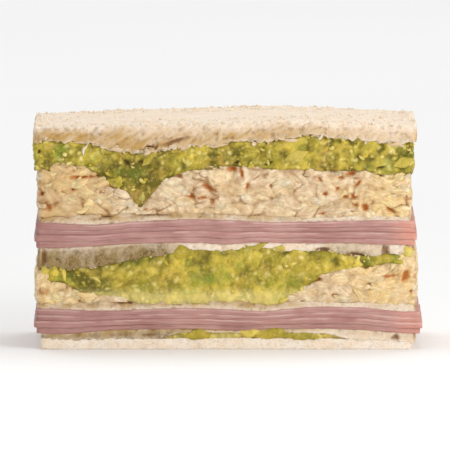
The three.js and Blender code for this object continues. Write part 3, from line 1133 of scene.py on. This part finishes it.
def bed_recipe(seed, holes):
    """Bundles of fibre with faint creases between them, and smaller curds towards the right."""

    def recipe(at):
        near, gap, own, away = cells(at.warped(1.6 * MM, 4.5 * MM, seed), BUNDLE, seed)
        turn = 0.7 * own[:, 1]
        run = (at.way[:, 0] * away[:, 1] - at.way[:, 1] * away[:, 0]) * BUNDLE[0] / MM
        rise = away[:, 2] * BUNDLE[2] / MM
        along = run * np.cos(turn) + rise * np.sin(turn)
        across = rise * np.cos(turn) - run * np.sin(turn)
        fibre = joined(along * 0.45, across * 2.4, own[:, 2] * 9)
        strands = noise(fibre, 1.0, seed + 6)
        near_small, _, own_small, _ = cells(at.warped(0.8 * MM, 2 * MM, seed + 2), 2.4 * MM, seed + 1)
        nick = ramp(own_small[:, 0], 0.6, 0.75) * ramp(near_small, 0.5, 0.2)
        hole = ovals(at.face, at.z, holes)
        upper = ramp(at.z, 32 * MM, 37 * MM)
        # The upper heap is a little darker all over, and painted shade deepens it towards the left, away from
        # the key light.
        left_shade = (0.06 + 0.24 * ramp(at.x, -24 * MM, -48 * MM)) * upper
        crease = ramp(gap, 0.14, 0.0) * ramp(rough(at.coords, 5 * MM, seed + 4), -0.3, 0.4)
        curds = ramp(at.face, 5 * MM, 30 * MM)
        # Painted shade along the bottom seam, fading out towards the right.
        base = 0.7 * ramp(at.up, 0.08, 0.02) * ramp(rough(at.coords, 6 * MM, seed + 11), -0.4, 0.2)
        base = base * (1 - ramp(at.face, 12 * MM, 30 * MM))
        coarse = rough(at.coords, 2.6 * MM, seed + 8)
        finer = rough(at.coords, 1.7 * MM, seed + 8)
        lumpy = (1 - curds) * coarse + curds * finer
        push = MM * (
            0.5 * rough(at.coords, 9 * MM, seed + 9)
            + 0.8 * (0.6 - near**1.5)
            + (0.3 + 0.3 * curds) * lumpy
            + 0.2 * strands
            - 0.45 * crease
            - 0.8 * nick
            - 1.3 * hole
        )
        # Painted shade in the creases, the nicks and the dips of the relief, stronger on the upper heap.
        dark = (0.55 + 0.45 * upper) * (0.85 * crease + 0.8 * nick + 0.5 * ramp(lumpy, -0.1, -0.8))
        marks = {
            "hollow": np.clip(dark + left_shade + base, 0, 1),
            "cavity_shade": np.clip(hole + 0.35 * nick, 0, 1),
            "gold": np.clip(golden(at.face, at.z) + 0.3 * own[:, 0], 0, 1),
            "fibre": fibre,
        }
        return marks, push, 0.0

    return recipe


# %% [markdown]
# The open holes are listed for each of the three heaps, and each heap is laid as one bed.

# %% The beds of chicken
UPPER_HOLES = [
    (-5.3, 47.0, 2.1, 0.75, -30),
    (-10.5, 44.6, 1.7, 0.7, -25),
    (-6.9, 44.0, 2.1, 0.5, 5),
    (4.2, 51.5, 2.0, 0.6, -75),
    (5.9, 47.4, 1.1, 0.55, 75),
    (1.4, 52.4, 1.6, 0.8, 10),
    (35.8, 51.0, 1.3, 0.75, 15),
    (32.7, 49.9, 1.0, 0.55, 15),
    (37.9, 48.2, 1.5, 0.5, 50),
    (36.7, 44.5, 1.25, 0.9, 0),
    (34.0, 44.3, 0.6, 0.5, 0),
    (39.9, 41.3, 1.3, 0.85, -60),
    (37.2, 41.8, 1.0, 0.5, -10),
    (28.2, 45.1, 1.0, 0.6, 30),
    (47.2, 40.6, 1.9, 0.65, -45),
    (27.5, 39.4, 1.0, 0.45, 0),
    (26.9, 49.3, 1.1, 0.4, -60),
    (43.7, 50.4, 1.1, 0.4, 0),
    (31.8, 46.5, 0.9, 0.45, 40),
    (-41.9, 50.0, 5.2, 0.45, 2),
    (-37.1, 50.5, 1.1, 0.6, 30),
    (-44.6, 46.5, 1.0, 0.5, 0),
    (-42.3, 46.4, 1.0, 0.5, -10),
    (-51.7, 41.2, 1.1, 0.8, 0),
    (-47.7, 45.2, 1.0, 0.6, 0),
    (-26.6, 45.7, 1.6, 0.5, 0),
]
LEFT_HOLES = [(-34.4, 15.9, 1.0, 0.6, 0), (-43, 17.4, 3.2, 0.6, -12), (-50, 20.6, 1.6, 0.5, -30)]
RIGHT_HOLES = [
    (51.7, 21.5, 2.2, 1.0, 60),
    (46.8, 21.2, 3.2, 0.5, 10),
    (25.7, 20.3, 1.8, 0.65, 0),
    (30.9, 15.6, 1.0, 0.55, 0),
    (40, 24.0, 1.4, 0.5, -20),
    (53.5, 17.0, 0.9, 0.6, 0),
]
BEDS = (
    ("upper_chicken_bed", "chicken_upper", bed_recipe(300, UPPER_HOLES)),
    ("left_chicken_bed", "chicken_lower_left", bed_recipe(330, LEFT_HOLES)),
    ("right_chicken_bed", "chicken_lower_right", bed_recipe(360, RIGHT_HOLES)),
)
for bed in BEDS:
    pressed_layer(*bed, "chicken", (0.2, 0.3), 0.8, sink=0.15)

# %% [markdown]
# Shreds, crumbs and bits of flesh are all small balls, drawn out, bent or knocked out of shape.
# The first ball is doubled again and again into one mesh, and each point keeps the number of its
# copy. So a few lines on whole arrays can shape and place all of them at once.

# %% Many small shapes
PIECE_LEAN = 0.6
PIECE_BEVEL = 0.3


def doubled_shapes(name, doublings, ball):
    """A mesh of equal balls, or of blocks where there is no ball, and the number of the shape that
    each point belongs to."""
    form = bmesh.new()
    number = form.verts.layers.int.new("number")
    if ball:
        bmesh.ops.create_uvsphere(form, u_segments=ball[0], v_segments=ball[1], radius=1)
    else:
        bmesh.ops.create_cube(form, size=2)
        settings = {"offset": PIECE_BEVEL, "segments": 2, "profile": 0.5, "affect": "EDGES", "material": -1}
        bmesh.ops.bevel(form, geom=form.edges, **settings)
    for doubling in range(doublings):
        made = bmesh.ops.duplicate(form, geom=form.verts[:] + form.edges[:] + form.faces[:])["geom"]
        for vert in (item for item in made if isinstance(item, bmesh.types.BMVert)):
            vert[number] += 2**doubling
    mesh = bpy.data.meshes.new(name)
    form.to_mesh(mesh)
    form.free()
    numbers = np.empty(len(mesh.vertices), np.int32)
    mesh.attributes["number"].data.foreach_get("value", numbers)
    return mesh, numbers


# %% [markdown]
# Every shape is bent and tapered a little differently, turned by its own slant and set on the cut.
# Blocks only lean. Limits that give way gently keep shapes from standing in a row at a border.

# %% Strewn shapes
def held(value, low, high, ease):
    """Keeps values between two limits, and flattens them gently as they come near one."""
    over = np.maximum(value - (high - ease), 0)
    value = value - over + ease * (1 - np.exp(-over / ease))
    under = np.maximum(low + ease - value, 0)
    return value + under - ease * (1 - np.exp(-under / ease))


class Strewn:
    """Small shapes, each with a place, a way out and half sizes along, up and out."""

    def __init__(self, name, doublings, ball, places, ways, sizes, tilts, seed):
        self.mesh, self.number = doubled_shapes(name, doublings, ball)
        random = np.random.default_rng(seed)
        phase = random.uniform(0, 6, 2**doublings)[self.number]
        curl = random.uniform(-1, 1, 2**doublings)[self.number]
        self.ball = coordinates(self.mesh)
        side, out, run = self.ball.T
        taper = 1 - 0.45 * np.abs(run) ** 3 + 0.2 * np.sin(3 * run + phase)
        length, height, depth = sizes[self.number].T
        if ball:
            side = side * taper * height + 0.25 * length * (curl * run**2 + 0.3 * np.sin(4 * run + phase))
            out, run = out * taper * depth, run * length
        else:
            out, run, side = out * depth, (run + PIECE_LEAN * side) * length, side * height
        turn, way = tilts[self.number], ways[self.number]
        run, rise = run * np.cos(turn) - side * np.sin(turn), run * np.sin(turn) + side * np.cos(turn)
        tangent = joined(-way[:, 1], way[:, 0])
        self.coords = places[self.number]
        self.coords[:, :2] += tangent * run[:, None] + way * out[:, None]
        self.coords[:, 2] += rise
        self.seed = seed

    def knocked(self, amount):
        """Knocks every shape out of its smooth form."""
        shift = [rough(self.coords, 6 * amount, self.seed + n) for n in range(3)]
        self.coords += amount * joined(*shift)

    def laid(self, slot, **marks):
        """Makes the piece. A mark has a value for each shape, and one that isn't given is 0."""
        keep(self.mesh, **{name: np.asarray(value)[self.number] for name, value in marks.items()})
        print(f"{self.mesh.name}: {self.number.max() + 1} shapes, {len(self.mesh.polygons)} faces")
        finished(self.mesh, self.coords, slot)


# %% [markdown]
# A few shreds lie loose on the cut of each heap, half sunk in it. Their overlaps give the heap the
# depth that a single surface can't have. They are held between the seams and behind the cut, and
# they leave the holes open.

# %% Loose shreds
SHRED_LENGTHS = (1.6 * MM, 4.2 * MM)
SHRED_HEIGHTS = (0.7 * MM, 1.6 * MM)
SHRED_DEPTHS = (0.4 * MM, 0.7 * MM)
SHRED_BALL = (8, 7)


def loose_shreds(name, node, doublings, seed, holes, closed_end=0, scale=1.0, starts=-1.0):
    """Shreds on the cut sides of a heap. `closed_end` is the end, -1 or 1, that other food hides,
    and `starts` is how far along the cut the first of them lie."""
    random = np.random.default_rng(seed)
    layer = layers[node]
    count = 2**doublings
    spots, ways = layer.round_the_cut(0.9 * MM, random.random(8 * count))
    low, high = layer.heights(*spots.T)
    z = low + random.uniform(0.05, 0.95, len(low)) * (high - low)
    ranges = (SHRED_LENGTHS, SHRED_HEIGHTS, SHRED_DEPTHS)
    sizes = joined(*(random.uniform(*limits, len(z)) for limits in ranges))
    sizes *= (scale**1.5, scale, scale)
    face = along_the_cut(spots, ways)
    towards_end = (spots[:, 0] - layer.middle[0]) * closed_end
    shown = (towards_end < layer.half[0] - 3 * MM) & (face > starts)
    for step in (-1, -0.5, 0, 0.5, 1):
        shown &= ovals(face + step * sizes[:, 0], z, holes, 1.2) < 0.3
    spots, ways, z, face, sizes = (values[shown][:count] for values in (spots, ways, z, face, sizes))
    spots = spots - ways * random.uniform(0.0, 0.5, (count, 1)) * MM * scale
    tilts = random.normal(0, 0.4, count)
    shreds = Strewn(name, doublings, SHRED_BALL, joined(spots, z), ways, sizes, tilts, seed)
    shreds.knocked(0.15 * MM)
    for i in (0, 1):
        edges = layer.low_corner[i] + 0.3 * MM, layer.high_corner[i] - 0.3 * MM
        shreds.coords[:, i] = held(shreds.coords[:, i], *edges, 0.5 * MM)
    low, high = layer.heights(*shreds.coords[:, :2].T)
    shreds.coords[:, 2] = held(shreds.coords[:, 2], low, high, 0.4 * MM)
    side, out, run = shreds.ball.T
    around = 1.6 * joined(side, out) / np.maximum(np.hypot(side, out), 0.01)[:, None]
    shift = random.uniform(0, 90, count)[shreds.number]
    length = run * sizes[shreds.number, 0] / MM * 0.45
    keep(shreds.mesh, fibre=joined(length, around[:, 0], around[:, 1] + shift))
    shreds.laid("chicken", gold=np.clip(golden(face, z) + random.uniform(-0.4, 0.4, count), 0, 1))


loose_shreds("upper_chicken_shreds", "chicken_upper", 8, 401, UPPER_HOLES)
loose_shreds("left_chicken_shreds", "chicken_lower_left", 5, 402, LEFT_HOLES, closed_end=1)
loose_shreds("right_chicken_shreds", "chicken_lower_right", 6, 403, RIGHT_HOLES, closed_end=-1)
loose_shreds("upper_chicken_curds", "chicken_upper", 8, 404, UPPER_HOLES, scale=0.5, starts=12 * MM)
loose_shreds("right_chicken_curds", "chicken_lower_right", 6, 405, RIGHT_HOLES, closed_end=-1, scale=0.5)

# %% [markdown]
# Where a slice was torn by the knife, crumbs cling to its edge and hang over what lies below. Fine
# crumbs and a few hairs of crumb stand up from the top slice, and break its outline against the
# light. Each kind is one piece, with a few faces to a crumb.

# %% Crumbs
CRUMB_BALL = (6, 4)
HEMS = (
    ("bread_top", "low", 9, (0.3, 0.8)),
    ("bread_second", "high", 7, (0.2, 0.5)),
    ("bread_second", "low", 7, (0.2, 0.5)),
    ("bread_third", "low", 8, (0.25, 0.7)),
    ("bread_fourth", "high", 7, (0.2, 0.5)),
    ("bread_fifth", "low", 7, (0.2, 0.5)),
    ("bread_bottom", "high", 7, (0.25, 0.6)),
)


def hem_crumbs(node, side, doublings, size_range, seed):
    random = np.random.default_rng(seed)
    layer = layers[node]
    count = 2**doublings
    spots, ways = layer.round_the_cut(0.65 * MM, random.random(count))
    z = layer.height(side, *spots.T)
    z = z + stray(*spots.T, z) + random.normal(0, 0.45, count) * size_range[1] * MM
    sizes = MM * random.uniform(*size_range, (count, 1))
    sizes = sizes * random.uniform((0.7, 0.4, 0.5), (1.6, 1.0, 0.9), (count, 3))
    tilts = random.normal(0, 0.7, count)
    name = f"{node}_{side}_crumbs"
    crumbs = Strewn(name, doublings, CRUMB_BALL, joined(spots, z), ways, sizes, tilts, seed)
    crumbs.knocked(0.2 * size_range[0] * MM)
    crumbs.coords[:, 2] = np.maximum(crumbs.coords[:, 2], 0)
    crumbs.laid("bread", torn=random.uniform(0.3, 0.9, count))


for seed, hem in enumerate(HEMS):
    hem_crumbs(*hem, 500 + seed)


def top_crumbs(name, doublings, lengths, thickness, seed, upright):
    """Crumbs on the top slice. `upright` is how much they stand on end."""
    random = np.random.default_rng(seed)
    layer = layers["bread_top"]
    count = 2**doublings
    share = 1 - random.random((count, 1)) ** 2 * 0.6
    spots, ways, _ = outline(layer.half - 0.8 * MM, random.random(count))
    spots = spots * share + layer.middle
    z = layer.height("high", *spots.T)
    long = random.uniform(*lengths, count)
    thick = random.uniform(*thickness, count)
    tilts = random.normal(0, 0.4, count) + upright
    sizes = MM * joined(long, thick, thick)
    crumbs = Strewn(name, doublings, CRUMB_BALL, joined(spots, z), ways, sizes, tilts, seed)
    crumbs.knocked(0.25 * thickness[0] * MM)
    crumbs.laid("bread", torn=random.uniform(0.05, 0.3, count))


top_crumbs("top_slice_crumbs", 10, (0.2, 0.6), (0.12, 0.32), 520, 0.0)
top_crumbs("top_slice_tufts", 7, (0.5, 1.2), (0.3, 0.6), 522, 0.0)
top_crumbs("top_slice_hairs", 6, (0.5, 1.1), (0.06, 0.11), 521, 1.3)

# %% [markdown]
# Not all of the avocado was mashed. Some of it shows as small pale bits that stick out of the cut
# here and there. They are knocked balls like the crumbs, in the mash's own material.

# %% Bits of avocado
BIT_BALL = (6, 5)


def avocado_bits(name, node, doublings, seed):
    random = np.random.default_rng(seed)
    layer = layers[node]
    count = 2**doublings
    spots, ways = layer.round_the_cut(1.3 * MM, random.random(count))
    low, high = layer.heights(*spots.T)
    z = low + random.uniform(0.0, 1.0, count) * (high - low)
    spots = spots + ways * random.uniform(-0.3, 0.35, (count, 1)) * MM
    sizes = MM * random.uniform(0.35, 0.9, (count, 1))
    sizes = sizes * random.uniform((0.8, 0.6, 0.5), (1.3, 1.0, 0.8), (count, 3))
    tilts = random.normal(0, 0.8, count)
    bits = Strewn(name, doublings, BIT_BALL, joined(spots, z), ways, sizes, tilts, seed)
    bits.knocked(0.12 * MM)
    pale = np.clip(random.normal(0.15, 0.35, count), 0, 0.9)
    bits.laid("avocado", pale=pale, hollow=random.uniform(0, 0.3, count))


avocado_bits("upper_mash_bits", "avocado_upper", 8, 601)
avocado_bits("lower_mash_bits", "avocado_lower", 7, 602)

# %% [markdown]
# Under pressure the mash bulges over its neighbours, and a relief can't reach across a seam. So the
# larger lumps at the front cut are shapes of their own, with their places in a list. The smears
# over the lowest bread are made the same way, and so are the tufts of crumb that the knife pulled
# down from the top slice.

# %% Lumps, smears and tufts
LUMP_BALL = (20, 14)


def front_lumps(name, lumps, behind, depth, seed):
    """Larger lumps at the front cut, a power of two of them. Each has its layer, its place, its half
    sizes and its slant, and then its tints. `behind` is how far their middles lie in the layer."""
    layer_of, x, up, length, height, slant = list(zip(*lumps))[:6]
    count = len(lumps)
    front = np.array([layers[node].low_corner[1] for node in layer_of])
    places = joined(np.array(x) * MM, front + behind * MM, np.array(up) * MM)
    sizes = joined(length, height, np.full(count, depth)) * MM
    ways = np.tile([0.0, -1.0], (count, 1))
    shapes = Strewn(name, round(math.log2(count)), LUMP_BALL, places, ways, sizes, np.radians(slant), seed)
    shapes.knocked(0.5 * MM)
    shapes.knocked(0.2 * MM)
    return shapes


# %% [markdown]
# Each row is one shape: its layer, its place and half sizes in millimetres, its slant in degrees
# and its tints. All of them are at the front cut, and chance decides only how each is bent.

# %% Where the lumps lie
LUMPS = (
    ("avocado_lower", -52.5, 22.9, 1.7, 1.4, 30, 0.1, 0.0),
    ("avocado_lower", -49.6, 22.3, 2.2, 1.7, -20, 0.0, 0.05),
    ("avocado_lower", -51.2, 20.6, 2.2, 1.0, 5, 0.0, 0.35),
    ("avocado_lower", -47.0, 21.6, 1.2, 1.8, 10, 0.2, 0.0),
    ("avocado_lower", -38.8, 20.8, 4.2, 0.6, -33, 0.35, 0.0),
    ("avocado_lower", -12.8, 28.0, 3.8, 2.1, 10, 0.0, 0.4),
    ("avocado_lower", 8.0, 29.8, 4.2, 1.3, 3, 0.1, 0.15),
    ("avocado_lower", 14.5, 29.3, 3.0, 1.2, -8, 0.2, 0.1),
    ("avocado_lower", 16.2, 14.4, 1.8, 0.9, 25, 0.2, 0.0),
    ("avocado_lower", 32.3, 27.0, 2.0, 0.9, -25, 0.2, 0.05),
    ("avocado_lower", 38.1, 24.9, 1.7, 1.2, -20, 0.2, 0.0),
    ("avocado_upper", -35.5, 57.4, 3.4, 0.7, -8, 0.0, 0.4),
    ("avocado_upper", -31.8, 48.6, 3.0, 1.6, -20, 0.0, 0.1),
    ("avocado_upper", -24.6, 44.4, 1.1, 1.7, 0, 0.3, 0.1),
    ("avocado_upper", -10.7, 54.4, 2.4, 1.2, 0, 0.4, 0.0),
    ("avocado_lower", 51.8, 28.2, 2.2, 1.6, 20, 0.35, 0.0),
)
SMEARS = (
    ("avocado_smear", -9.0, 4.4, 4.6, 1.6, 0, 0.0, 0.35),
    ("avocado_smear", 6.4, 4.6, 3.2, 1.6, 0, 0.15, 0.05),
    ("avocado_smear", 12.5, 4.8, 5.2, 1.8, 4, 0.0, 0.3),
    ("avocado_smear", 21.0, 4.2, 5.8, 1.5, -3, 0.05, 0.15),
)
TUFTS = (
    ("avocado_upper", -41.3, 57.6, 2.2, 0.45, 78, 0.2),
    ("avocado_upper", -32.1, 58.2, 2.4, 0.7, -10, 0.5),
    ("avocado_upper", -23.0, 57.0, 1.6, 0.6, 24, 0.5),
    ("avocado_upper", -2.6, 59.2, 2.6, 0.6, 8, 0.6),
    ("avocado_upper", 7.9, 59.8, 0.9, 0.6, 0, 0.4),
    ("avocado_upper", 18.0, 60.6, 3.0, 0.7, -5, 0.5),
    ("avocado_upper", 40.5, 59.8, 0.8, 0.6, 0, 0.4),
    ("avocado_upper", 49.0, 59.6, 2.6, 0.6, -3, 0.6),
)

for name, lumps, behind, seed in (("mash_lumps", LUMPS, 2.0, 621), ("mash_smears", SMEARS, 0.45, 623)):
    pale, dark = list(zip(*lumps))[6:]
    front_lumps(name, lumps, behind, 1.3, seed).laid("avocado", pale=pale, hollow=dark)
tufts = front_lumps("top_slice_lower_tufts", TUFTS, 1.4, 1.1, 622)
tufts.laid("bread", torn=list(zip(*TUFTS))[6])

# %% [markdown]
# A few pieces of avocado kept the flat faces of the knife, and lean the way they were pressed. They
# start as cubes with bevelled edges. Most lie where chance puts them, and the large ones have
# their own places.

# %% Flat-sided pieces
LARGE_PIECES = ((19.9, 56.1, 2.4, 1.8, -5), (51.0, 54.3, 2.0, 1.6, -8), (44.6, 28.6, 1.0, 1.4, 20))


def avocado_pieces(name, node, doublings, seed):
    random = np.random.default_rng(seed)
    layer = layers[node]
    count = 2**doublings
    spots, ways = layer.round_the_cut(1.6 * MM, random.random(count))
    low, high = layer.heights(*spots.T)
    z = low + random.uniform(0.25, 0.75, count) * (high - low)
    sizes = MM * random.uniform((0.9, 0.6, 0.7), (1.7, 1.1, 1.0), (count, 3))
    tilts = random.normal(0, 0.5, count)
    for n, (x, up, length, height, slant) in enumerate(LARGE_PIECES):
        if layer.height("low", x * MM, 0) < up * MM < layer.height("high", x * MM, 0):
            spots[n] = x * MM, layer.low_corner[1] + 1.8 * MM
            ways[n] = 0, -1
            z[n] = up * MM
            sizes[n] = length * MM, height * MM, 1.2 * MM
            tilts[n] = math.radians(slant)
    pieces = Strewn(name, doublings, None, joined(spots, z), ways, sizes, tilts, seed)
    pieces.knocked(0.1 * MM)
    dark = random.uniform(0.15, 0.35, count)
    pieces.laid("avocado", hollow=dark, pale=random.uniform(0.0, 0.15, count))


avocado_pieces("upper_mash_pieces", "avocado_upper", 4, 611)
avocado_pieces("lower_mash_pieces", "avocado_lower", 3, 612)

# %% [markdown]
# The sandwich stands on a plain pale floor under soft light, as in a studio. A broad light
# overhead keeps the floor bright, a smaller one at the upper right gives the lumps a light and a
# dark side, and a faint one low in front reaches the lowest slices.

# %% Floor and light
LIGHTS_AIM = Vector((0, 0, 0.035))
WORLD_LIGHT = 0.6
WHITE = (1.0, 1.0, 1.0)


def studio_floor():
    form = bmesh.new()
    bmesh.ops.create_grid(form, x_segments=1, y_segments=1, size=8)
    mesh = bpy.data.meshes.new("floor")
    form.to_mesh(mesh)
    form.free()
    floor = bpy.data.objects.new("floor", mesh)
    bpy.context.scene.collection.objects.link(floor)
    floor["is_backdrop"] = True
    tree, shader, place = surface("floor", "Pale studio floor", Roughness=0.9, Specular_IOR_Level=0.1)
    coated(tree, shader, (0.94, 0.94, 0.94), (mottled(tree, place, 0.4), (0.96, 0.96, 0.96)))
    mesh.materials.append(MATERIALS["floor"])


def soft_light(name, place, width, power, colour):
    light = bpy.data.lights.new(name, "AREA")
    light.size = width
    light.energy = power
    light.color = colour
    lamp = bpy.data.objects.new(name, light)
    lamp.location = place
    lamp.rotation_euler = (LIGHTS_AIM - Vector(place)).to_track_quat("-Z", "Y").to_euler()
    bpy.context.scene.collection.objects.link(lamp)
    print(f"{name}: {power:g} W, {width:g} m wide")


studio_floor()
world = bpy.data.worlds.new("studio")
world.use_nodes = True
sky = world.node_tree.nodes["Background"]
sky.inputs["Color"].default_value = (*WHITE, 1)
sky.inputs["Strength"].default_value = WORLD_LIGHT
bpy.context.scene.world = world
soft_light("overhead", (0.0, 0.9, 2.2), 2.5, 26.0, WHITE)
soft_light("fill", (-0.1, -0.6, 0.03), 0.3, 0.2, WHITE)
soft_light("key", (0.28, -0.36, 0.26), 0.2, 1.0, (1.0, 0.98, 0.95))
bpy.context.scene.view_settings.view_transform = "Standard"

# %% [markdown]
# The picture is 450 pixels wide and one pixel is 0.289 mm on the front cut, so the frame is 130 mm
# wide there. The sides of the real sandwich hardly come together towards the back, so the camera
# stands well away, with a long lens, and looks down a few degrees.

# %% Camera
PICTURE = 450
PIXEL = 0.289 * MM
DISTANCE = 4.0
ELEVATION = math.radians(5)
CENTRE_COLUMN = 227
TABLE_ROW = 350


def picture_camera():
    camera = bpy.data.cameras.new("camera")
    camera.sensor_width = 36
    camera.lens = camera.sensor_width * DISTANCE / (PICTURE * PIXEL)
    camera.clip_end = 30
    front = cad_box[0].y
    across = (PICTURE / 2 - CENTRE_COLUMN) * PIXEL
    up = (TABLE_ROW - PICTURE / 2) * PIXEL / math.cos(ELEVATION)
    stand = bpy.data.objects.new("camera", camera)
    stand.location = (across, front - DISTANCE * math.cos(ELEVATION), up + DISTANCE * math.sin(ELEVATION))
    stand.rotation_euler = (math.pi / 2 - ELEVATION, 0, 0)
    bpy.context.scene.collection.objects.link(stand)
    bpy.context.scene.camera = stand
    print(f"lens {camera.lens:.0f} mm, looking at a point {up / MM:.1f} mm up")


picture_camera()

# %% [markdown]
# Last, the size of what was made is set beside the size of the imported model.

made_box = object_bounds()
boxes = {"cad": [list(corner) for corner in cad_box], "visual": [list(corner) for corner in made_box]}
for axis, name in enumerate("XYZ"):
    lows = [box[0][axis] / MM for box in boxes.values()]
    highs = [box[1][axis] / MM for box in boxes.values()]
    print(f"{name}: packed {lows[0]:.1f} to {highs[0]:.1f}, made {lows[1]:.1f} to {highs[1]:.1f} mm")
